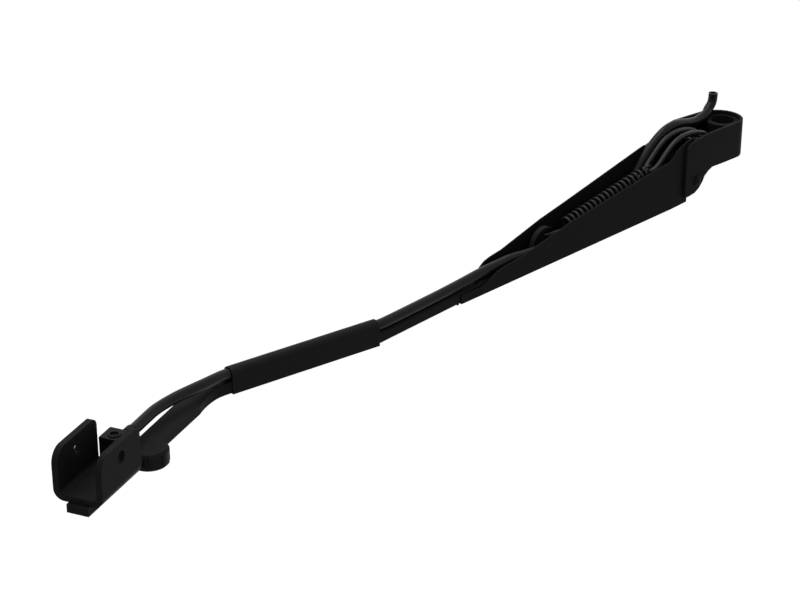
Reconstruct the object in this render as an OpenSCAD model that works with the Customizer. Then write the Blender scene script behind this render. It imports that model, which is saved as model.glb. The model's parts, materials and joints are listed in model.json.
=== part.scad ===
// Wiper arm with a washer hose, lying with its glass side up.
// Millimetres. The origin is the centre of the shaft bore at the top of its boss.
// X runs towards the blade, Y across the arm, Z away from the cover side.

/* [Mounting head] */
// Radius of the bore for the wiper shaft
shaft_bore_r = 8; // [6:0.5:9.5]
// Outer radius of the boss round the shaft bore
boss_r = 11.7; // [11:0.1:12.6]
// Outer radius of the rounded end of the head
head_end_r = 15.8; // [15:0.1:17]
// Half the outer width of the head at its open end
head_half_w = 17.1; // [16.9:0.1:18.5]
// Half the clear width between the cheeks at the hinge
cheek_gap_half = 15; // [14.9:0.1:15.3]
// Length of the head from the shaft to its open end
head_len = 66.2; // [64:0.5:72]
// Thickness of the floor of the head
head_floor_t = 3.2; // [2:0.2:5]

/* [Hinge] */
// Distance of the hinge from the shaft
hinge_x = 53.4; // [52:0.2:55]
// Depth of the hinge under the top of the boss
hinge_drop = 24; // [23:0.2:25]
// Radius of the hinge rivet
rivet_r = 2.6; // [2:0.1:3]
// Radius of the domed heads of the hinge rivet
rivet_head_r = 3.8; // [3.4:0.1:5]
// Wall of the collars round the hinge rivet
bush_wall = 1; // [0.6:0.1:1.6]

/* [Channel] */
// Distance from the shaft to the far end of the channel
channel_end_x = 282.6; // [275:0.5:292]
// Half the outer width of the channel at its far end
channel_tip_half_w = 4.75; // [4.75:0.05:5.5]
// Thickness of the sheet of the channel
sheet_t = 1.1; // [0.9:0.05:1.1]

/* [Bar] */
// Width of the round-cornered bar
rod_w = 7.3; // [6.6:0.1:7.3]
// Height of the round-cornered bar
rod_h = 7.3; // [6:0.1:7.4]
// Angle of the first crank seen from above
crank_in_deg = 11.8; // [10.5:0.1:13]
// Angle of the tip seen from above
crank_out_deg = 18.4; // [17:0.1:19.5]
// Thickness of the flattened tongue
tongue_t = 4.8; // [3.2:0.1:5]

/* [Blade saddle] */
// Outer width of the saddle
saddle_w = 28.8; // [26:0.2:32]
// Length of the saddle
saddle_len = 39.5; // [34:0.5:42]
// Thickness of the plate of the saddle
saddle_t = 3.6; // [2.8:0.1:4]
// Height of the saddle
saddle_h = 28.1; // [26:0.1:31]
// Radius of the cross holes for the blade's pin
pin_hole_r = 3.5; // [2.5:0.1:4.5]

/* [Spring] */
// Outer diameter of the tension spring
spring_od = 10.3; // [9:0.1:11.4]
// Diameter of the spring wire
spring_wire = 1.9; // [1.4:0.1:2]
// Number of whole coils of the spring
spring_coils = 18; // [12:1:22]
// Diameter of the wire of the spring hook
yoke_wire = 3.8; // [3:0.1:4]

/* [Washer parts] */
// Outer diameter of the washer hose
hose_d = 6.4; // [5:0.1:6.5]
// Length of the sleeve over bar and hose
sleeve_len = 101.5; // [70:0.5:102]
// Wall of the sleeve over bar and hose
sleeve_wall = 0.6; // [0.4:0.1:1.2]
// Outer radius of the disc beside the saddle
disc_r = 11; // [9:0.1:11.6]
// Height of the notched knob
knob_h = 8.1; // [6.5:0.1:10]

/* [Hidden] */
$fn = 48;
running = 0.05;
gap = 0.3;
tall = 60;

// Head: places along the part, all measured from the shaft.
end_centre_x = 3.9;
head_wall = 2;
flare_x = 36;
end_inner_r = head_end_r - head_wall;
head_flare_half = head_end_r + 1;
rim_end_z = 2.4;
rim_hinge_z = 5.5;
head_bottom_z = -22.5;
hinge_z = -hinge_drop;
ear_drop = 9;
head_low_z = hinge_z - ear_drop;
cradle_end_x = hinge_x + 0.6;
cradle_half = 12;
ear_slot_top_z = -15;

// Anchor pin of the spring hook.
anchor_x = 27.5;
anchor_z = -8;
anchor_r = 2.5;
anchor_seat = 0.6;
anchor_share = (anchor_x - end_centre_x) / (flare_x - end_centre_x);
anchor_half = end_inner_r + (cheek_gap_half - end_inner_r) * anchor_share;

// Channel: its web lies lowest and its sides taper to the bar.
web_z = -37.8;
web_top_z = web_z + sheet_t;
web_start_x = 60.6;
washer_t = 0.4;
channel_half = cheek_gap_half - washer_t - 2 * running;
taper_x = 76;
ear_start_x = 43.5;
ear_slot_x = ear_start_x - gap;
bush_r = rivet_r + running + bush_wall;
bush_len = sheet_t + 1;
washer_r = bush_r + 2.6;

// Bar: a straight run, a crank each way and a flat tongue.
rod_half = rod_w / 2;
rod_z = web_top_z + 0.05;
rod_low_z = web_z - 0.2;
rod_top_z = rod_low_z + rod_h;
rod_step_x = channel_end_x + 0.6;
crank_x = 356.5;
crank_len = 117.5;
tip_len = 83.5;
crank_r = 60;
tongue_half = 7;
tongue_end_half = 6.35;
tongue_z = web_z + 0.2;
tongue_top_z = tongue_z + tongue_t;
tongue_end_u = 51.6;
eye_x = 195.8;
eye_z = -29.4;
eye_r = 12.4;
eye_t = 3.6;
eye_near_y = 0.2;
eye_mid_y = eye_near_y - eye_t / 2;
eye_end_x = 212;
slot_r = 2.1;
slot_z = -22;
slot_from_x = 191.4;
slot_to_x = 196.6;

// Saddle, in the frame of the tip.
saddle_u = 9.9;
saddle_v = -0.5;
saddle_floor_z = tongue_top_z;
saddle_bend = 6;
pin_u = saddle_u + 19.4;
pin_z = saddle_floor_z + saddle_h - 8;

// Spring line and hooks.
spring_from = [88.6, -12];
spring_to = [176, -22];
spring_mean_r = (spring_od - spring_wire) / 2;
hook_x = 196;
hook_spread = eye_t / 2 + spring_wire / 2 + 0.35;

// Rivets that hold the bar and the saddle.
rod_rivet_x = [232, 262];
rod_rivet_r = 1.9;
saddle_rivet_u = [saddle_u + 9, saddle_u + saddle_len - 9];
saddle_rivet_r = 2.5;

// Disc and notched knob on the bar, beside the saddle.
disc_u = -14.7;
disc_v = 4.3;
disc_t = 1.4;
knob_chamfer = 1;
notch_r = 1.3;
notches = 8;
bolt_r = 2;
bolt_head_r = 3.6;

// Nozzle, in the frame of the tip.
nozzle_u = [-2.6, 9.6];
nozzle_v = [-11, 3.4];
nozzle_top_z = -16.5;
jet_r = 3.4;
jet_u = 4.2;
jet_v = -4.6;
stub_len = 3.4;
barb_u = -15.35;
barb_v = -5.6;
barb_z = -24.5;

// Route of the hose from the tip to the head, along its middle. Between the bend after the sleeve
// and the connector its points are shares of that stretch, so the end stays in the connector.
hose_z = rod_top_z + hose_d / 2 + gap / 3;
hose_clear = 0.07;
hose_bend = [466, -19.3];
turn_at = [crank_x + crank_len * cos(crank_in_deg), -crank_len * sin(crank_in_deg)];

// Place beside a straight line between two points: share of the way, distance to the side, height.
function beside(start, end, share, side, z) =
  let (d = end - start, t = d / norm(d))
  [start[0] + share * d[0] - side * t[1], start[1] + share * d[1] + side * t[0], z];

// Place beside the tip, measured along it from the turn of the bar.
function along_tip(along, side, z) = [
  turn_at[0] + along * cos(crank_out_deg) - side * sin(crank_out_deg),
  turn_at[1] + along * sin(crank_out_deg) + side * cos(crank_out_deg), z];

// The hose runs straight into its connector, so its end face stays square to it.
hose_lead = 7.684;
hose_end_u = tip_len + barb_u - hose_clear;
hose_end_v = barb_v - running;
hose_lead_at = along_tip(hose_end_u - hose_lead, hose_end_v + 0.027, -24.4);
hose_beside_tip = [
    [0.87930, -1.427, -24.2], [0.75275, -2.701, -24], [0.61248, -3.142, -24.1], [0.45894, -2.555, -24.1],
    [0.29106, -1.433, -24.4], [0.13857, -0.350, -24.8]];
hose_path = concat(
  [along_tip(hose_end_u, hose_end_v, barb_z), hose_lead_at],
  [for (q = hose_beside_tip) beside(hose_bend, [hose_lead_at[0], hose_lead_at[1]], q[0], q[1], q[2])],
  [[hose_bend[0], hose_bend[1], -25.5],
    [458, -20.2, -26.4], [450, -19.5, hose_z], [436, -16.6, hose_z], [420, -13.3, hose_z],
    [400, -9.1, hose_z], [380, -4.9, hose_z], [364, -1.6, hose_z], [352, 0.2, hose_z],
    [340, 0.5, hose_z], [320, 0.4, hose_z], [300, 0.2, hose_z], [284, 0, -27.2],
    [272, 0, -26.8], [262, 0, -26.4], [252, 0, -26.3], [242, 0.2, -26.3],
    [232, 0.6, -26.3], [222, 2.2, -26.6], [213, 3.5, -27], [206, 3.6, -27.8],
    [197, 3.8, -29.5], [190, 4.2, -31], [183, 3.6, -32.3], [178.5, 0.9, -33],
    [174.5, -2.2, -33.4], [170.5, -4.4, -33.4], [162, -5.3, -33.4], [150, -6.3, -33.4],
    [138, -6.9, -33.4], [124, -7.6, -32.6], [112, -8.3, -30.2], [101, -8.8, -26],
    [92, -9.3, -20.6], [84.5, -9.6, -14], [77.5, -9.6, -7.5], [70.6, -9.6, -2.3],
    [63, -9.6, 2], [55, -9.5, 5.2], [46, -9.4, 6.3], [37, -9.3, 5.3],
    [28, -9.3, 3.1], [19, -9.4, 1.9], [10.5, -9.6, 2.6], [5, -10.2, 3.8],
    [2.2, -11, 5.3], [-1.6, -11.2, 8], [-3, -11.15, 11], [-3.3, -11.05, 15.8]]);

// Route of the hook wire: one leg, the bow round the spring's loop, the other leg.
yoke_leg_y = 4;
yoke_hook_r = anchor_r + yoke_wire / 2 + 0.4;
yoke_hook = [for (a = [-50 : -30 : -230])
  [anchor_x + yoke_hook_r * cos(a), anchor_z + yoke_hook_r * sin(a)]];
yoke_side = concat(yoke_hook, [[29, -0.8], [36, 1.8], [44, 3.6], [53, 4], [62, 2.4], [70, -1.6], [77, -6.6]]);
yoke_bow = [[81.5, 3.8, -9.6], [84.8, 2.6, -11.4], [86, 0, -12], [84.8, -2.6, -11.4], [81.5, -3.8, -9.6]];

// Profiles of the head seen from the side, as X and Z: rim of each cheek, then the lower edge.
rim_start = [[-13, rim_end_z], [-5, rim_end_z], [35, rim_hinge_z]];
near_rim = [[hinge_x - 6.2, rim_hinge_z + 0.1], [hinge_x + 1.8, rim_hinge_z - 0.2],
  [head_len - 4.6, rim_hinge_z - 1.6], [head_len - 1.2, rim_hinge_z - 3.8], [head_len, rim_hinge_z - 6.4]];
far_rim = [[hinge_x - 8.4, rim_hinge_z - 0.9], [hinge_x - 3.4, rim_hinge_z - 2.7],
  [hinge_x + 0.6, rim_hinge_z - 5.3], [hinge_x + 4.6, rim_hinge_z - 7.5],
  [head_len - 4.2, rim_hinge_z - 8.1], [head_len, rim_hinge_z - 8.9]];
head_low = [[head_len, head_low_z], [head_len - 5, head_low_z], [hinge_x + 1.6, head_low_z + 0.4],
  [hinge_x - 3, head_low_z + 2.3], [hinge_x - 7.4, head_low_z + 6], [hinge_x - 9.6, head_low_z + 9.4],
  [hinge_x - 13.8, -21.2], [hinge_x - 18.4, -19.8], [22, -21], [3, head_bottom_z + 0.1], [-13, head_bottom_z]];

// Hollow of the head seen from the side: its floor runs on as a cradle under the hinge.
hollow_side = concat([[head_len + 1, head_low_z - 2], [cradle_end_x, head_low_z - 2],
  [cradle_end_x, head_low_z + 0.8 + head_floor_t]],
  [for (q = head_low) if (q[0] < cradle_end_x - 1) q + [0, head_floor_t]],
  [[-13, rim_hinge_z + 3], [head_len + 1, rim_hinge_z + 3]]);

// Profiles of the sides of the channel, as X and Z.
ear_edge = [[ear_start_x, hinge_z], [45.2, hinge_z - 4.6], [49, hinge_z - 7], [54, hinge_z - 8.2],
  [web_start_x, hinge_z - 9.2]];
channel_low = [[web_start_x, web_z], [channel_end_x, web_z], [channel_end_x, -31.8], [264.7, -32.5],
  [259.9, -31.4], [255.2, -29]];

far_flange = concat(channel_low, [[253.5, -26], [248.5, -23.6], [243, -22.7], [231, -22], [190, -15.2],
  [165, -12.5], [90, -3.6], [72, -1.3], [60, -4], [50, -11.5], [45.5, -18]], ear_edge);

near_flange = concat(channel_low, [[250.5, -26.7], [242.7, -25.3], [237, -25], [227, -23.8],
  [180, -15], [92, -4.4], [82, -3.6], [77.7, -1.7], [74.6, 1.6], [69.1, 4.2], [63.5, 5.6],
  [58, 6.6], [53, 5.6], [49.4, 1.6], [47.2, -6], [45, -16]], ear_edge);

function unit(v) = v / norm(v);

// Tangent of a path at one of its points.
function tangent(p, i) =
  i == 0 ? unit(p[1] - p[0]) :
  i == len(p) - 1 ? unit(p[i] - p[i - 1]) :
  unit(unit(p[i + 1] - p[i]) + unit(p[i] - p[i - 1]));

// Part of v that stands square to t.
function square_to(v, t) = unit(v - (v * t) * t);

// Side vectors carried along a path without twist.
function side_vectors(p, first) =
  [for (i = 0, s = square_to(first, tangent(p, 0)); i < len(p);
      i = i + 1, s = i < len(p) ? square_to(s, tangent(p, i)) : s) s];

// Round wire or hose swept along a path of points.
module swept(p, r, sides, first) {
  s = side_vectors(p, first);
  points = [for (i = [0 : len(p) - 1])
    let (t = tangent(p, i), b = cross(t, s[i]))
    for (k = [0 : sides - 1])
      p[i] + r * (cos(k * 360 / sides) * s[i] + sin(k * 360 / sides) * b)];
  sides_faces = [for (i = [0 : len(p) - 2]) for (k = [0 : sides - 1])
    let (a = i * sides + k, b = i * sides + (k + 1) % sides)
    each [[a, b + sides, b], [a, a + sides, b + sides]]];
  first_face = [[for (k = [0 : sides - 1]) k]];
  last_face = [[for (k = [0 : sides - 1]) len(p) * sides - 1 - k]];
  polyhedron(points = points, faces = concat(first_face, sides_faces, last_face));
}

// Plate with a side profile (X and Z), from y0 to y1.
module side_plate(profile, y0, y1) {
  translate([0, y1, 0])
    rotate([90, 0, 0])
      linear_extrude(height = y1 - y0) polygon(profile);
}

// Round pin along Y.
module cross_pin(x, z, r, y0, y1) {
  translate([x, y1, z])
    rotate([90, 0, 0]) cylinder(r = r, h = y1 - y0);
}

// Frame of the tip: u along the tongue, v across it.
module at_tip() {
  translate([tip_x, tip_y, 0]) rotate([0, 0, crank_out_deg]) children();
}

// Outline of the head seen from above.
module head_outline(end_r, flare_half, mouth_half, mouth_x) {
  translate([end_centre_x, 0]) circle(r = end_r, $fn = 96);
  polygon([[end_centre_x, -end_r], [flare_x, -flare_half], [mouth_x, -mouth_half],
    [mouth_x, mouth_half], [flare_x, flare_half], [end_centre_x, end_r]]);
}

module mounting_head() {
  color("#1b1b1c") difference() {
    intersection() {
      translate([0, 0, head_low_z - 1])
        linear_extrude(height = rim_hinge_z + 3 - head_low_z)
          head_outline(head_end_r, head_flare_half, head_half_w, head_len);
      union() {
        side_plate(concat(rim_start, near_rim, head_low), 0, head_half_w + 5);
        side_plate(concat(rim_start, far_rim, head_low), -head_half_w - 5, 0);
      }
    }
    difference() {
      intersection() {
        translate([0, 0, head_low_z - 1])
          linear_extrude(height = rim_hinge_z + 5 - head_low_z)
            head_outline(end_inner_r, cheek_gap_half, cheek_gap_half, head_len + 1);
        side_plate(hollow_side, -head_half_w, head_half_w);
      }
      translate([0, 0, head_bottom_z]) cylinder(r = boss_r, h = -head_bottom_z, $fn = 96);
    }
    for (s = [0, 1]) mirror([0, s, 0])
      translate([ear_slot_x, cradle_half, head_low_z - 1])
        cube([head_len, cheek_gap_half - cradle_half, ear_slot_top_z - head_low_z + 1]);
    translate([0, 0, head_bottom_z - 1]) cylinder(r = shaft_bore_r, h = rim_hinge_z - head_bottom_z, $fn = 96);
    cross_pin(hinge_x, hinge_z, rivet_r + running, -head_half_w - 1, head_half_w + 1);
    cross_pin(anchor_x, anchor_z, anchor_r + running, -anchor_half - anchor_seat, anchor_half + anchor_seat);
  }
}

module anchor_pin() {
  color("#3a3a3c")
    cross_pin(anchor_x, anchor_z, anchor_r,
      -anchor_half - anchor_seat + running, anchor_half + anchor_seat - running);
}

// Domed head of the hinge rivet, on one side.
module rivet_dome() {
  dome_h = 2.4;
  sphere_r = (rivet_head_r * rivet_head_r + dome_h * dome_h) / (2 * dome_h);
  rotate_extrude() intersection() {
    translate([0, dome_h - sphere_r]) circle(r = sphere_r, $fn = 64);
    square([rivet_head_r + 1, dome_h + 1]);
  }
}

module hinge_rivet() {
  color("#29292a") {
    cross_pin(hinge_x, hinge_z, rivet_r, -head_half_w, head_half_w);
    translate([hinge_x, head_half_w, hinge_z]) rotate([-90, 0, 0]) rivet_dome();
    translate([hinge_x, -head_half_w, hinge_z]) rotate([90, 0, 0]) rivet_dome();
  }
}

module hinge_bushes() {
  color("#4a4a45") for (s = [0, 1]) mirror([0, s, 0]) difference() {
    cross_pin(hinge_x, hinge_z, bush_r, channel_half - bush_len, channel_half);
    cross_pin(hinge_x, hinge_z, rivet_r + running, channel_half - bush_len - 1, channel_half + 1);
  }
}

module hinge_washers() {
  color("#5a5a55") for (s = [0, 1]) mirror([0, s, 0]) difference() {
    cross_pin(hinge_x, hinge_z, washer_r, channel_half + running, cheek_gap_half - running);
    cross_pin(hinge_x, hinge_z, rivet_r + running, channel_half - 1, cheek_gap_half + 1);
  }
}

// Channel seen from above, grown or shrunk by d.
module channel_plan(d, x0, x1) {
  polygon([[x0, -channel_half - d], [taper_x, -channel_half - d], [x1, -channel_tip_half_w - d],
    [x1, channel_tip_half_w + d], [taper_x, channel_half + d], [x0, channel_half + d]]);
}

module arm_channel() {
  color("#1f1f20") difference() {
    intersection() {
      translate([0, 0, web_z - 1])
        linear_extrude(height = tall) channel_plan(0, ear_start_x - 2, channel_end_x);
      union() {
        side_plate(near_flange, 0, channel_half + 2);
        side_plate(far_flange, -channel_half - 2, 0);
      }
    }
    translate([0, 0, web_top_z])
      linear_extrude(height = tall) channel_plan(-sheet_t, ear_start_x - 3, channel_end_x + 1);
    translate([ear_start_x - 3, sheet_t - channel_half, web_z - 1])
      cube([web_start_x - ear_start_x + 3, 2 * (channel_half - sheet_t), tall]);
    cross_pin(hinge_x, hinge_z, bush_r + running, -channel_half - 1, channel_half + 1);
    for (x = rod_rivet_x)
      translate([x, 0, web_z - 1]) cylinder(r = rod_rivet_r + running, h = sheet_t + 2);
  }
}

// Middle line of the bar seen from above, after the first crank.
crank_end = [crank_x + crank_len * cos(crank_in_deg), -crank_len * sin(crank_in_deg)];
tip_x = crank_end[0] + tip_len * cos(crank_out_deg);
tip_y = crank_end[1] + tip_len * sin(crank_out_deg);
turn_deg = crank_in_deg + crank_out_deg;
turn_cut = crank_r * tan(turn_deg / 2);
turn_in = crank_end - turn_cut * [cos(crank_in_deg), -sin(crank_in_deg)];
turn_centre = turn_in + crank_r * [sin(crank_in_deg), cos(crank_in_deg)];
turn_steps = 8;
tip_dir = [cos(crank_out_deg), sin(crank_out_deg)];
tip_side = [-sin(crank_out_deg), cos(crank_out_deg)];

function turn_point(a, w) = turn_centre + (crank_r - w) * [sin(a), -cos(a)];
function turn_side(w0, w1) = [for (i = [0 : turn_steps])
  turn_point(-crank_in_deg + turn_deg * i / turn_steps, w0 + (w1 - w0) * max(0, i / turn_steps - 0.3) / 0.7)];
function tip_point(u, v) = [tip_x, tip_y] + u * tip_dir + v * tip_side;
function turned(list) = [for (i = [len(list) - 1 : -1 : 0]) list[i]];

rod_near = concat([[eye_x - 2, eye_near_y], [eye_end_x, eye_near_y], [eye_end_x + 3, rod_half],
  [crank_x, rod_half]], turn_side(rod_half, tongue_half), [tip_point(tongue_end_u, tongue_end_half)]);
rod_far = concat([[eye_x - 2, -rod_half], [crank_x - 1, -rod_half]], turn_side(-rod_half, -tongue_half),
  [tip_point(tongue_end_u, -tongue_end_half)]);

flat_x = turn_in[0] + 8;
rod_side = [[eye_x - 3, rod_z], [rod_step_x, rod_z], [rod_step_x + 0.8, rod_low_z], [crank_x - 3, rod_low_z],
  [crank_x - 1.4, tongue_z], [620, tongue_z], [620, tongue_top_z],
  [flat_x + 20, tongue_top_z], [flat_x + 10, tongue_top_z + (rod_top_z - tongue_top_z) * 0.45],
  [flat_x, rod_top_z], [eye_x - 3, rod_top_z]];

// Bevel along both edges of the straight bar, at one level.
module rod_corner_cut(x0, x1, level) {
  cut = 1.5;
  for (side = [-1, 1])
    translate([x0, side * rod_half, level]) rotate([45, 0, 0])
      translate([0, -cut / 2, -cut / 2]) cube([x1 - x0, cut, cut]);
}

module arm_rod() {
  color("#222223") difference() {
    union() {
      intersection() {
        translate([0, 0, rod_low_z - 5]) linear_extrude(height = 30) polygon(concat(rod_near, turned(rod_far)));
        side_plate(rod_side, -60, 60);
      }
      intersection() {
        cross_pin(eye_x, eye_z, eye_r, eye_near_y - eye_t, eye_near_y, $fn = 64);
        translate([eye_x - 20, -10, rod_z]) cube([40, 20, 40]);
      }
    }
    rod_corner_cut(eye_x + eye_r + 2, crank_x - 1, rod_top_z);
    rod_corner_cut(rod_step_x + 2, crank_x - 1, rod_low_z);
    cross_pin(slot_from_x, slot_z, slot_r, -10, 10);
    cross_pin(slot_to_x, slot_z, slot_r, -10, 10);
    translate([slot_from_x, -10, slot_z - slot_r]) cube([slot_to_x - slot_from_x, 20, 2 * slot_r]);
    for (x = rod_rivet_x)
      translate([x, 0, rod_z - 1]) cylinder(r = rod_rivet_r + running, h = rod_h + 2);
    at_tip() for (u = saddle_rivet_u)
      translate([u, saddle_v, tongue_z - 1]) cylinder(r = saddle_rivet_r + running, h = tongue_t + 2);
    at_tip() translate([disc_u, disc_v, tongue_z - 1]) cylinder(r = bolt_r + running, h = tongue_t + 2);
  }
}

// Flat head of an upright rivet, widest where it meets the part.
module flat_head(head_r, head_t) {
  cylinder(r1 = head_r, r2 = head_r * 0.75, h = head_t);
}

module rod_rivets() {
  head_r = rod_rivet_r + 0.9;
  head_t = 0.7;
  color("#2b2b2c") for (x = rod_rivet_x) translate([x, 0, 0]) {
    translate([0, 0, web_z]) cylinder(r = rod_rivet_r, h = rod_top_z - web_z);
    translate([0, 0, rod_top_z]) flat_head(head_r, head_t);
    translate([0, 0, web_z]) rotate([180, 0, 0]) flat_head(head_r, head_t);
  }
}

// Rivets of the saddle: a head under the tongue, flush in the floor of the saddle.
module bracket_rivets() {
  color("#2b2b2c") at_tip() for (u = saddle_rivet_u) translate([u, saddle_v, tongue_z]) {
    cylinder(r = saddle_rivet_r, h = saddle_floor_z + saddle_t - tongue_z);
    rotate([180, 0, 0]) flat_head(saddle_rivet_r + 1.6, 1.3);
  }
}

// Spring in its own frame: s along its axis, then across, then up.
spring_run = norm(spring_to - spring_from);
spring_dip = atan2(spring_from[1] - spring_to[1], spring_to[0] - spring_from[0]);
function on_spring(s, y, h) = [
  spring_from[0] + s * cos(spring_dip) + h * sin(spring_dip), y,
  spring_from[1] - s * sin(spring_dip) + h * cos(spring_dip)];
coil_steps = 12;
loop_r = (yoke_wire + spring_wire) / 2 + 0.35;
loop_at = on_spring(-2.6, 0, 0);

near_loop = [for (a = [-60 : -30 : -270])
  loop_at + loop_r * [cos(a), 0, sin(a)]];
coils = [for (i = [0 : spring_coils * coil_steps + coil_steps / 4])
  on_spring(3.4 + (spring_run - 5) * i / (spring_coils * coil_steps + coil_steps / 4),
    spring_mean_r * sin(i * 360 / coil_steps), spring_mean_r * cos(i * 360 / coil_steps))];
far_hook = [for (a = [75 : -15 : -75])
  [hook_x - hook_spread + hook_spread * cos(a), eye_mid_y + hook_spread * sin(a), slot_z + 0.1]];
far_tail = [[hook_x - hook_spread - 4, eye_mid_y - hook_spread + 0.2, slot_z + 0.3]];

module tension_spring() {
  color("#303032")
    swept(concat(near_loop, coils, far_hook, far_tail), spring_wire / 2, 8, [0, 1, 0]);
}

yoke_points = concat([for (q = yoke_side) [q[0], yoke_leg_y, q[1]]], yoke_bow,
  [for (q = turned(yoke_side)) [q[0], -yoke_leg_y, q[1]]]);

module spring_yoke() {
  color("#2e2e30") swept(yoke_points, yoke_wire / 2, 12, [0, 1, 0]);
}

module washer_hose() {
  color("#161617") swept(hose_path, hose_d / 2, 12, [0, 1, 0]);
}

// Section of the sleeve: flat below round the bar, round above round the hose.
module sleeve_section(d) {
  half = rod_half + 0.35 + d;
  low = tongue_z - gap / 3 - d;
  translate([hose_z, 0]) circle(r = half, $fn = 64);
  translate([low, -half]) square([hose_z - low, 2 * half]);
}

module hose_sleeve() {
  color("#19191a")
    translate([crank_x, 0, 0]) rotate([0, 0, -crank_in_deg])
      translate([-1.2, 0, 0]) rotate([0, -90, 0]) mirror([0, 0, 1])
        linear_extrude(height = sleeve_len) difference() {
          sleeve_section(sleeve_wall);
          sleeve_section(0);
        }
}

module blade_bracket() {
  top = saddle_floor_z + saddle_h;
  half = saddle_w / 2;
  end_u = saddle_u + saddle_len;
  color("#1e1e1f") at_tip() translate([0, saddle_v, 0]) difference() {
    intersection() {
      translate([saddle_u, 0, 0]) rotate([90, 0, 90]) linear_extrude(height = saddle_len) difference() {
        union() {
          translate([-half, saddle_floor_z + saddle_bend]) square([2 * half, saddle_h - saddle_bend]);
          translate([-half + saddle_bend, saddle_floor_z]) square([2 * (half - saddle_bend), saddle_bend + 1]);
          for (s = [-1, 1])
            translate([s * (half - saddle_bend), saddle_floor_z + saddle_bend]) circle(r = saddle_bend);
        }
        union() {
          translate([-half + saddle_t, saddle_floor_z + saddle_bend])
            square([2 * (half - saddle_t), saddle_h]);
          translate([-half + saddle_bend, saddle_floor_z + saddle_t])
            square([2 * (half - saddle_bend), saddle_bend]);
          for (s = [-1, 1])
            translate([s * (half - saddle_bend), saddle_floor_z + saddle_bend])
              circle(r = saddle_bend - saddle_t);
        }
      }
      translate([0, half + 1, 0]) rotate([90, 0, 0]) linear_extrude(height = 2 * half + 2) union() {
        translate([saddle_u, saddle_floor_z - 1]) square([saddle_len, saddle_h - 8 + 1]);
        translate([saddle_u + 4.5, top - 9]) square([saddle_len - 4.5 - 8.5, 9]);
        translate([saddle_u, top - 9]) square([5, 9 - 4.5]);
        translate([saddle_u + 4.5, top - 4.5]) circle(r = 4.5);
        translate([end_u - 8.5, top - 8.5]) circle(r = 8.5);
      }
    }
    cross_pin(pin_u, pin_z, pin_hole_r, -half - 1, half + 1);
    for (u = saddle_rivet_u)
      translate([u, 0, saddle_floor_z - 1]) cylinder(r = saddle_rivet_r + running, h = saddle_t + 2);
  }
}

module nozzle_body() {
  foot_z = tongue_top_z;
  color("#141415") at_tip() difference() {
    union() {
      translate([nozzle_u[0], nozzle_v[0], foot_z])
        cube([nozzle_u[1] - nozzle_u[0], nozzle_v[1] - nozzle_v[0], nozzle_top_z - foot_z]);
      translate([nozzle_u[0] - stub_len, nozzle_v[0] + 2.4, foot_z + 2.2])
        cube([stub_len + 1, nozzle_v[1] - nozzle_v[0] - 4.8, nozzle_top_z - foot_z - 6]);
    }
    translate([jet_u, jet_v, nozzle_top_z - 4]) cylinder(r = jet_r + running, h = 5);
  }
}

module nozzle_jet() {
  color("#2a2a2b") at_tip() translate([jet_u, jet_v, nozzle_top_z - 4]) difference() {
    cylinder(r = jet_r, h = 4.6);
    translate([0, 0, 3.4]) cylinder(r = jet_r - 1, h = 2);
    translate([0, 0, 1]) cylinder(r = 0.5, h = 4);
  }
}

// Connector between the hose and the nozzle.
module hose_barb() {
  stub_u = nozzle_u[0] - stub_len;
  collar = 5;
  cone = stub_u - barb_u - collar;
  color("#101011") at_tip() translate([barb_u, barb_v, barb_z]) rotate([0, 90, 0]) {
    cylinder(r = hose_d / 2 + 0.7, h = collar);
    translate([0, 0, collar]) cylinder(r1 = hose_d / 2 + 0.2, r2 = hose_d / 2 - 0.6, h = cone);
  }
}

module tip_washer() {
  color("#1c1c1d") at_tip() translate([disc_u, disc_v, tongue_top_z]) difference() {
    cylinder(r1 = disc_r - 0.3, r2 = disc_r - 1.6, h = disc_t, $fn = 72);
    translate([0, 0, -1]) cylinder(r = bolt_head_r + running, h = disc_t + 2);
  }
}

module notched_knob() {
  knob_z = tongue_top_z - knob_h;
  color("#171718") at_tip() difference() {
    translate([disc_u, disc_v, knob_z]) difference() {
      union() {
        cylinder(r1 = disc_r - knob_chamfer, r2 = disc_r, h = knob_chamfer, $fn = 72);
        translate([0, 0, knob_chamfer]) cylinder(r = disc_r, h = knob_h - knob_chamfer, $fn = 72);
      }
      for (i = [0 : notches - 1]) rotate([0, 0, (i + 0.5) * 360 / notches])
        translate([disc_r + 0.3, 0, -1]) cylinder(r = notch_r, h = knob_h + 2);
    }
    translate([disc_u - disc_r - 3, -tongue_half - 0.1, tongue_z])
      cube([2 * disc_r + 6, 2 * tongue_half + 0.2, tongue_t + 1]);
    translate([disc_u, disc_v, knob_z + 1.5]) cylinder(r = bolt_r + running, h = knob_h);
  }
}

module knob_bolt() {
  knob_z = tongue_top_z - knob_h;
  color("#2b2b2c") at_tip() translate([disc_u, disc_v, 0]) {
    translate([0, 0, knob_z + 1.5]) cylinder(r = bolt_r, h = knob_h - 1.5);
    translate([0, 0, tongue_top_z]) cylinder(r = bolt_head_r, h = disc_t);
  }
}

mounting_head();
anchor_pin();
hinge_rivet();
hinge_bushes();
hinge_washers();
arm_channel();
arm_rod();
rod_rivets();
tension_spring();
spring_yoke();
washer_hose();
hose_sleeve();
blade_bracket();
bracket_rivets();
nozzle_body();
nozzle_jet();
hose_barb();
tip_washer();
notched_knob();
knob_bolt();
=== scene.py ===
# %% [markdown]
# # Dressing a wiper arm
# A wiper arm is mostly black-coated metal, so its look rests on three things:
# edges that catch a little light, a coat that is satin and slightly grainy,
# and a few shiny pieces, such as the hose and the spring, that draw thin bright lines.
# The solids come from the part itself, and this script only refines them.

# %% Load the part
import json
import math

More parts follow.
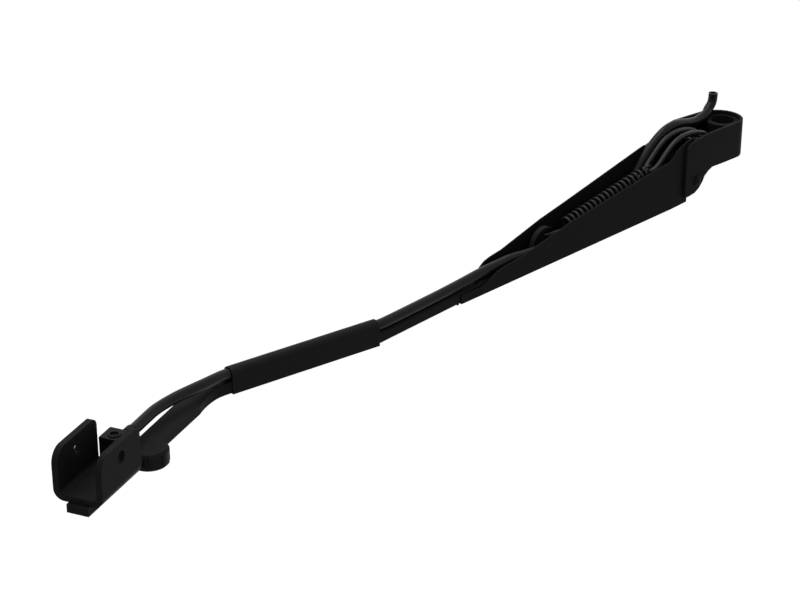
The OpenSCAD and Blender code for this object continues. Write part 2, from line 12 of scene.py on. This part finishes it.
import bmesh
import bpy
import numpy as np
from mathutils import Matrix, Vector


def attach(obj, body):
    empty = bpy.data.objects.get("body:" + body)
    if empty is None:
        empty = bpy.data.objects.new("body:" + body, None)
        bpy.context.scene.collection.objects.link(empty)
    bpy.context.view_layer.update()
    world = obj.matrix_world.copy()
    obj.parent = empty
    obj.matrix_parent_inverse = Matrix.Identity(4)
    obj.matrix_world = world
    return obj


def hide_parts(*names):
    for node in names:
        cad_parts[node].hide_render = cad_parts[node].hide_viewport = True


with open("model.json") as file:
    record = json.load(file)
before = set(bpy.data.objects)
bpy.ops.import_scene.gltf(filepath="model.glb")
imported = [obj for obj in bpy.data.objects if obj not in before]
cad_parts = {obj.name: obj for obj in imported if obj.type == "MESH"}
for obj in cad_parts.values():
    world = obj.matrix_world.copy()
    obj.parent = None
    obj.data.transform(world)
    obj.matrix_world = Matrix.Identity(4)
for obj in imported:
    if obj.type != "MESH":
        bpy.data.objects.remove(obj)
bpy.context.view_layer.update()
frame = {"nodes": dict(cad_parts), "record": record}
nodes = frame["nodes"]
body_of_node = {n: b for b, names in frame["record"]["behaviour"]["bodies"].items() for n in names}
slot_of_node = {s["node"]: s["material_slot"] for s in frame["record"]["subparts"]}

# %% [markdown]
# ## The coat on the metal
# The real arm is dipped or powder coated. Such a coat is nearly black, half matt,
# and its surface is a very fine orange peel that breaks up the reflections.
# Noise on the roughness gives the uneven sheen, and a small bump gives the peel.
# Both are procedural, so they stay sharp at any distance.


# %% A coated surface
def grainy(name, colour, rough, rough_spread, grain_size, grain_depth, specular=0.5, metallic=0.0):
    """A dark surface with an uneven sheen and a fine grain; sizes in millimetres."""
    mat = bpy.data.materials.new(name)
    mat.use_nodes = True
    tree = mat.node_tree
    shader = tree.nodes["Principled BSDF"]
    shader.inputs["Base Color"].default_value = (*colour, 1)
    shader.inputs["Metallic"].default_value = metallic
    shader.inputs["Specular IOR Level"].default_value = specular
    place = tree.nodes.new("ShaderNodeTexCoord")

    patches = tree.nodes.new("ShaderNodeTexNoise")
    patches.inputs["Scale"].default_value = 90
    patches.inputs["Detail"].default_value = 4
    tree.links.new(place.outputs["Object"], patches.inputs["Vector"])
    sheen = tree.nodes.new("ShaderNodeMapRange")
    sheen.inputs["From Min"].default_value = 0.3
    sheen.inputs["From Max"].default_value = 0.7
    sheen.inputs["To Min"].default_value = rough - rough_spread
    sheen.inputs["To Max"].default_value = rough + rough_spread
    tree.links.new(patches.outputs["Fac"], sheen.inputs["Value"])
    tree.links.new(sheen.outputs["Result"], shader.inputs["Roughness"])

    shade = tree.nodes.new("ShaderNodeMixRGB")
    shade.inputs["Color1"].default_value = (*[c * 0.85 for c in colour], 1)
    shade.inputs["Color2"].default_value = (*[c * 1.2 for c in colour], 1)
    tree.links.new(patches.outputs["Fac"], shade.inputs["Fac"])
    tree.links.new(shade.outputs["Color"], shader.inputs["Base Color"])

    peel = tree.nodes.new("ShaderNodeTexNoise")
    peel.inputs["Scale"].default_value = 1000 / grain_size
    peel.inputs["Detail"].default_value = 3
    tree.links.new(place.outputs["Object"], peel.inputs["Vector"])
    bump = tree.nodes.new("ShaderNodeBump")
    bump.inputs["Strength"].default_value = 0.6
    bump.inputs["Distance"].default_value = grain_depth / 1000
    tree.links.new(peel.outputs["Fac"], bump.inputs["Height"])
    tree.links.new(bump.outputs["Normal"], shader.inputs["Normal"])
    return mat


finish = {
    "coated_casting": grainy("coat on the casting", (0.0135, 0.0135, 0.014), 0.5, 0.06, 1.6, 0.03, 0.012),
    "coated_sheet": grainy("coat on the sheet", (0.0135, 0.0135, 0.014), 0.46, 0.05, 1.1, 0.015, 0.012),
    "coated_steel": grainy("coat on the steel", (0.014, 0.014, 0.0145), 0.44, 0.05, 1.1, 0.015, 0.015),
    "plain_steel": grainy("dulled steel", (0.16, 0.16, 0.165), 0.4, 0.08, 0.8, 0.01, 0.4, 0.9),
    "spring_steel": grainy("phosphated wire", (0.019, 0.019, 0.02), 0.34, 0.05, 0.6, 0.008, 0.14, 0.1),
    "hose_rubber": grainy("hose rubber", (0.0095, 0.0095, 0.01), 0.3, 0.05, 0.9, 0.01, 0.09),
    "black_plastic": grainy("moulded plastic", (0.0135, 0.0135, 0.014), 0.38, 0.05, 0.7, 0.012, 0.03),
}
print("finishes", ", ".join(finish))

# %% [markdown]
# ## Edges that catch the light
# No cast, cut or moulded edge is a true corner: a casting has a radius of half a
# millimetre or more, a sheared sheet has a small rolled edge and a burr side.
# Each piece is copied, its flat faces are joined into single faces, and a bevel
# runs round every edge sharper than a given angle. The copy takes the place of the solid.


# %% Soften a piece
def dress(obj, node):
    """Gives a new piece its place, its body and its finish."""
    obj.data.materials.clear()
    obj.data.materials.append(finish[slot_of_node[node]])
    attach(obj, body_of_node[node])
    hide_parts(node)


def soften(node, radius, steps=2, sharp=32):
    """Copies a solid and rounds its sharp edges; radius in millimetres."""
    mesh = bpy.data.meshes.new(node + " softened")
    work = bmesh.new()
    work.from_mesh(nodes[node].data)
    bmesh.ops.remove_doubles(work, verts=work.verts, dist=1e-6)
    bmesh.ops.dissolve_limit(work, angle_limit=math.radians(0.6), verts=work.verts, edges=work.edges)
    work.to_mesh(mesh)
    work.free()
    obj = bpy.data.objects.new(node + "_soft", mesh)
    bpy.context.scene.collection.objects.link(obj)
    bevel = obj.modifiers.new("edge", "BEVEL")
    bevel.width = radius / 1000
    bevel.segments = steps
    bevel.limit_method = "ANGLE"
    bevel.angle_limit = math.radians(sharp)
    bevel.use_clamp_overlap = True
    bevel.miter_outer = "MITER_ARC"
    mesh_with_edges = bpy.data.meshes.new_from_object(
        obj.evaluated_get(bpy.context.evaluated_depsgraph_get()))
    obj.modifiers.clear()
    obj.data = mesh_with_edges
    mesh_with_edges.shade_smooth()
    mesh_with_edges.set_sharp_from_angle(angle=math.radians(40))
    normals = obj.modifiers.new("flat faces stay flat", "WEIGHTED_NORMAL")
    normals.keep_sharp = True
    dress(obj, node)
    return obj


edge_mm = {
    "mounting_head": 0.7, "anchor_pin": 0.2, "hinge_rivet": 0.15, "arm_channel": 0.22, "arm_rod": 0.3,
    "rod_rivets": 0.15, "hose_sleeve": 0.25, "blade_bracket": 0.45, "bracket_rivets": 0.2,
    "nozzle_body": 0.6, "hose_barb": 0.2, "tip_washer": 0.2, "notched_knob": 0.35, "knob_bolt": 0.3,
}
for name, radius in edge_mm.items():
    piece = soften(name, radius)
    print(name, "edge", radius, "mm,", len(piece.data.polygons), "faces")

# %% [markdown]
# ## Round wire and hose
# A hose and a wire are both a circle carried along a path. The few points of the
# route are joined by a smooth curve through every point, then a ring of points is
# placed square to it at each step. The side vector of each ring is handed on from
# the last, so the tube never twists.


# %% Tubes along a path
def smooth_path(points, steps):
    """A curve through all points, with so many steps between two of them."""
    p = np.array(points, float)
    p = np.vstack([2 * p[0] - p[1], p, 2 * p[-1] - p[-2]])
    out = []
    for i in range(1, len(p) - 2):
        a, b, c, d = p[i - 1:i + 3]
        for t in np.linspace(0, 1, steps, endpoint=False):
            out.append(0.5 * (2 * b + (c - a) * t + (2 * a - 5 * b + 4 * c - d) * t ** 2
                              + (3 * b - a - 3 * c + d) * t ** 3))
    out.append(p[-2])
    return np.array(out)


def tube(name, path, radius, sides, side=(0, 1, 0), bore=0.0, bore_depth=0.0):
    """A round tube along a path in millimetres, with an open bore at its last end."""
    tangents = np.gradient(path, axis=0)
    tangents /= np.linalg.norm(tangents, axis=1)[:, None]
    s = np.array(side, float)
    rings = []
    for point, t in zip(path, tangents):
        s = s - (s @ t) * t
        s /= np.linalg.norm(s)
        b = np.cross(t, s)
        rings.append((point, s, b, t, radius))
    if bore:
        point, s, b, t, _ = rings[-1]
        rings.append((point, s, b, t, bore))
        rings.append((point - t * bore_depth, s, b, t, bore))
    turn = np.linspace(0, 2 * math.pi, sides, endpoint=False)
    verts = [tuple((point + r * (math.cos(a) * s + math.sin(a) * b)) / 1000)
             for point, s, b, t, r in rings for a in turn]
    faces = []
    for i in range(len(rings) - 1):
        for k in range(sides):
            n = (k + 1) % sides
            faces.append((i * sides + k, i * sides + n, (i + 1) * sides + n, (i + 1) * sides + k))
    faces.append(tuple(range(sides))[::-1])
    faces.append(tuple(range((len(rings) - 1) * sides, len(rings) * sides)))
    mesh = bpy.data.meshes.new(name)
    mesh.from_pydata(verts, [], faces)
    mesh.shade_smooth()
    mesh.set_sharp_from_angle(angle=math.radians(50))
    obj = bpy.data.objects.new(name, mesh)
    bpy.context.scene.collection.objects.link(obj)
    return obj


# %% [markdown]
# ## The washer hose
# It is an ordinary black rubber hose. It stands up out of the head, goes down
# beside the spring, runs under it, climbs on the bar and ends at the jet.
# Its upper end is cut square, so the bore is open there.

# %% Hose
hose_route = [
    [537.9, -7.9, -24.5], [530.6, -10.3, -24.4], [523, -12.8, -24.2], [515, -15.2, -24],
    [506, -16.9, -24.1], [496, -17.7, -24.1], [485, -18.1, -24.4], [475, -18.4, -24.8],
    [466, -19.3, -25.5], [458, -20.2, -26.4], [450, -19.5, -27.4], [436, -16.6, -27.4],
    [420, -13.3, -27.4], [400, -9.1, -27.4], [380, -4.9, -27.4], [364, -1.6, -27.4],
    [352, 0.2, -27.4], [340, 0.5, -27.4], [320, 0.4, -27.4], [300, 0.2, -27.4],
    [284, 0, -27.2], [272, 0, -26.8], [262, 0, -26.4], [252, 0, -26.3],
    [242, 0.2, -26.3], [232, 0.6, -26.3], [222, 2.2, -26.6], [213, 3.5, -27],
    [206, 3.6, -27.8], [197, 3.8, -29.5], [190, 4.2, -31], [183, 3.6, -32.3],
    [178.5, 0.9, -33], [174.5, -2.2, -33.4], [170.5, -4.4, -33.4], [162, -5.3, -33.4],
    [150, -6.3, -33.4], [138, -6.9, -33.4], [124, -7.6, -32.6],
    [112, -8.3, -30.2], [101, -8.8, -26], [92, -9.3, -20.6], [84.5, -9.6, -14],
    [77.5, -9.6, -7.5], [70.6, -9.6, -2.3], [63, -9.6, 2], [55, -9.5, 5.2],
    [46, -9.4, 6.3], [37, -9.3, 5.3], [28, -9.3, 3.1], [19, -9.4, 1.9],
    [10.5, -9.6, 2.6], [5, -10.2, 3.8], [2.2, -11, 5.3], [-1.6, -11.2, 8],
    [-3, -11.15, 11], [-3.3, -11.05, 15.8]]
hose_r = 3.2
hose_bore_r = 2.1
hose_bore_shown = 7
hose_line = smooth_path(hose_route, 5)
hose = tube("hose", hose_line, hose_r, 24, bore=hose_bore_r, bore_depth=hose_bore_shown)
dress(hose, "washer_hose")
hose_length = np.linalg.norm(np.diff(hose_line, axis=0), axis=1).sum()
print("hose", round(hose_length), "mm along its middle")

# %% [markdown]
# ## The spring
# A tension spring is wound with a hook at each end. The near hook stands upright
# round the wire hook's bow, and the far one lies flat through the slot in the bar.
# The coils start at the top of one hook and end beside the other.

# %% Spring
spring_start = np.array([88.6, -12.0])
spring_end = np.array([176.0, -22.0])
spring_d = 10.3
wire_d = 1.9
wire_r = wire_d / 2
coil_r = (spring_d - wire_d) / 2
coils = 18
hook_wire_d = 3.8
hook_play = 0.35
slot_x, slot_side, slot_height = 196, -1.6, -21.9
flat_bend_r = 3.1
run = np.linalg.norm(spring_end - spring_start)
dip = math.atan2(spring_start[1] - spring_end[1], spring_end[0] - spring_start[0])


def on_spring(s, y, h):
    return [spring_start[0] + s * math.cos(dip) + h * math.sin(dip), y,
            spring_start[1] - s * math.sin(dip) + h * math.cos(dip)]


bow_r = (hook_wire_d + wire_d) / 2 + hook_play
bow = np.array(on_spring(-2.6, 0, 0))
upright_hook = [list(bow + bow_r * np.array([math.cos(math.radians(a)), 0, math.sin(math.radians(a))]))
                for a in range(-60, -271, -30)]
turns = coils + 0.25
coil_line = [on_spring(3.4 + (run - 5) * i / (turns * 24), coil_r * math.sin(i * math.pi / 12),
                       coil_r * math.cos(i * math.pi / 12)) for i in range(int(turns * 24) + 1)]
flat_hook = [[slot_x - flat_bend_r + flat_bend_r * math.cos(math.radians(a)),
              slot_side + flat_bend_r * math.sin(math.radians(a)), slot_height]
             for a in range(75, -76, -15)] + [[188.9, -4.5, -21.7]]
wire = np.vstack([smooth_path(upright_hook, 3), coil_line, smooth_path(flat_hook, 3)])
spring = tube("spring", wire, wire_r, 12)
dress(spring, "tension_spring")
print("spring", len(spring.data.polygons), "faces,", coils, "coils")

# %% [markdown]
# ## The wire hook
# The hook is one thick wire bent into a long U. Its two legs arch over the hinge,
# so that it clears the rivet when the arm is folded, and curl round the anchor pin.

# %% Wire hook
leg_y = 4
hook_wire_r = hook_wire_d / 2
anchor_x, anchor_z, anchor_r = 27.5, -8, 2.5
anchor_play = 0.4
curl_r = anchor_r + hook_wire_r + anchor_play
curl = [[anchor_x + curl_r * math.cos(math.radians(a)), anchor_z + curl_r * math.sin(math.radians(a))]
        for a in range(-50, -231, -30)]
leg = curl + [[29, -0.8], [36, 1.8], [44, 3.6], [53, 4], [62, 2.4], [70, -1.6], [77, -6.6]]
hook_route = ([[x, leg_y, z] for x, z in leg]
              + [[81.5, 3.8, -9.6], [84.8, 2.6, -11.4], [86, 0, -12], [84.8, -2.6, -11.4], [81.5, -3.8, -9.6]]
              + [[x, -leg_y, z] for x, z in reversed(leg)])
hook = tube("wire_hook", smooth_path(hook_route, 4), hook_wire_r, 20)
dress(hook, "spring_yoke")
print("wire hook", len(hook.data.polygons), "faces")

# %% [markdown]
# ## Small pieces that stay as they are
# The collars, washers and jet insert are turned or moulded round, and hardly seen.
# They keep their solids and only take a material.

# %% Materials on the rest
for name in ("hinge_bushes", "hinge_washers", "nozzle_jet"):
    nodes[name].data.materials.clear()
    nodes[name].data.materials.append(finish[slot_of_node[name]])
    print(name, "takes", slot_of_node[name])

# %% [markdown]
# ## Camera
# The viewing angle was solved from the straight edges of the channel and the bar:
# the camera stands beside the head and looks down along the arm with a 100 mm lens.

# %% Camera
azimuth, elevation = math.radians(131.45), math.radians(25.35)
back = Vector((math.sin(azimuth) * math.cos(elevation), -math.cos(azimuth) * math.cos(elevation),
               math.sin(elevation)))
camera = bpy.data.objects.new("camera", bpy.data.cameras.new("camera"))
camera.data.lens = 100
camera.data.sensor_width = 36
camera.data.clip_start = 0.05
camera.data.clip_end = 50
camera.location = (1.21555, 0.77901, 0.53931)
camera.rotation_euler = back.to_track_quat("Z", "Y").to_euler()
bpy.context.scene.collection.objects.link(camera)
bpy.context.scene.camera = camera
bpy.context.scene.view_settings.view_transform = "Standard"
print("camera", tuple(round(c, 3) for c in camera.location))

# %% [markdown]
# ## Floor and light
# The picture is a plain product shot on white. The floor lies well below the arm,
# because the arm is held by its shaft, so its shadow spreads wide and is very faint.
# What the camera sees of the floor and the sky is white, while the light on the arm
# stays plain.


# %% White where the camera looks
def mix_for_camera(tree, seen, lighting, out_socket):
    """Camera, mirror and see-through rays see one shader, all other light the second."""
    path = tree.nodes.new("ShaderNodeLightPath")
    either = None
    for kind in ("Is Camera Ray", "Is Glossy Ray", "Is Transmission Ray"):
        if either is None:
            either = path.outputs[kind]
            continue
        larger = tree.nodes.new("ShaderNodeMath")
        larger.operation = "MAXIMUM"
        tree.links.new(either, larger.inputs[0])
        tree.links.new(path.outputs[kind], larger.inputs[1])
        either = larger.outputs[0]
    mix = tree.nodes.new("ShaderNodeMixShader")
    tree.links.new(either, mix.inputs[0])
    tree.links.new(lighting.outputs[0], mix.inputs[1])
    tree.links.new(seen.outputs[0], mix.inputs[2])
    tree.links.new(mix.outputs[0], out_socket)


world = bpy.data.worlds.new("studio")
bpy.context.scene.world = world
world.use_nodes = True
sky = world.node_tree
dim = sky.nodes["Background"]
dim.inputs["Color"].default_value = (1, 1, 1, 1)
dim.inputs["Strength"].default_value = 0.3
white = sky.nodes.new("ShaderNodeBackground")
white.inputs["Color"].default_value = (1, 1, 1, 1)
white.inputs["Strength"].default_value = 1
mix_for_camera(sky, white, dim, sky.nodes["World Output"].inputs["Surface"])

floor_z = -0.62
bpy.ops.mesh.primitive_plane_add(size=30, location=(0, 0, floor_z))
floor = bpy.context.object
floor.name = "floor"
paper = bpy.data.materials.new("white paper")
paper.use_nodes = True
tree = paper.node_tree
tree.nodes["Principled BSDF"].inputs["Base Color"].default_value = (0.8, 0.8, 0.8, 1)
tree.nodes["Principled BSDF"].inputs["Roughness"].default_value = 0.9
lit = tree.nodes.new("ShaderNodeBsdfDiffuse")
lit.inputs["Color"].default_value = (0.15, 0.15, 0.15, 1)
glow = tree.nodes.new("ShaderNodeEmission")
glow.inputs["Color"].default_value = (1, 1, 1, 1)
glow.inputs["Strength"].default_value = 0.94
both = tree.nodes.new("ShaderNodeAddShader")
tree.links.new(lit.outputs[0], both.inputs[0])
tree.links.new(glow.outputs[0], both.inputs[1])
mix_for_camera(tree, both, tree.nodes["Principled BSDF"], tree.nodes["Material Output"].inputs["Surface"])
floor.data.materials.append(paper)
print("floor at", floor_z, "m")


# %% Lamps
def area_lamp(name, place, target, size, watts):
    lamp = bpy.data.objects.new(name, bpy.data.lights.new(name, "AREA"))
    lamp.data.energy = watts
    lamp.data.size = size
    lamp.location = place
    lamp.rotation_euler = (Vector(place) - Vector(target)).to_track_quat("Z", "Y").to_euler()
    bpy.context.scene.collection.objects.link(lamp)


middle = (0.3, 0, 0)
area_lamp("overhead", (0.1, -0.5, 1.9), middle, 1.6, 30)
area_lamp("front fill", (1.6, 1.2, 0.9), middle, 1.2, 1.5)
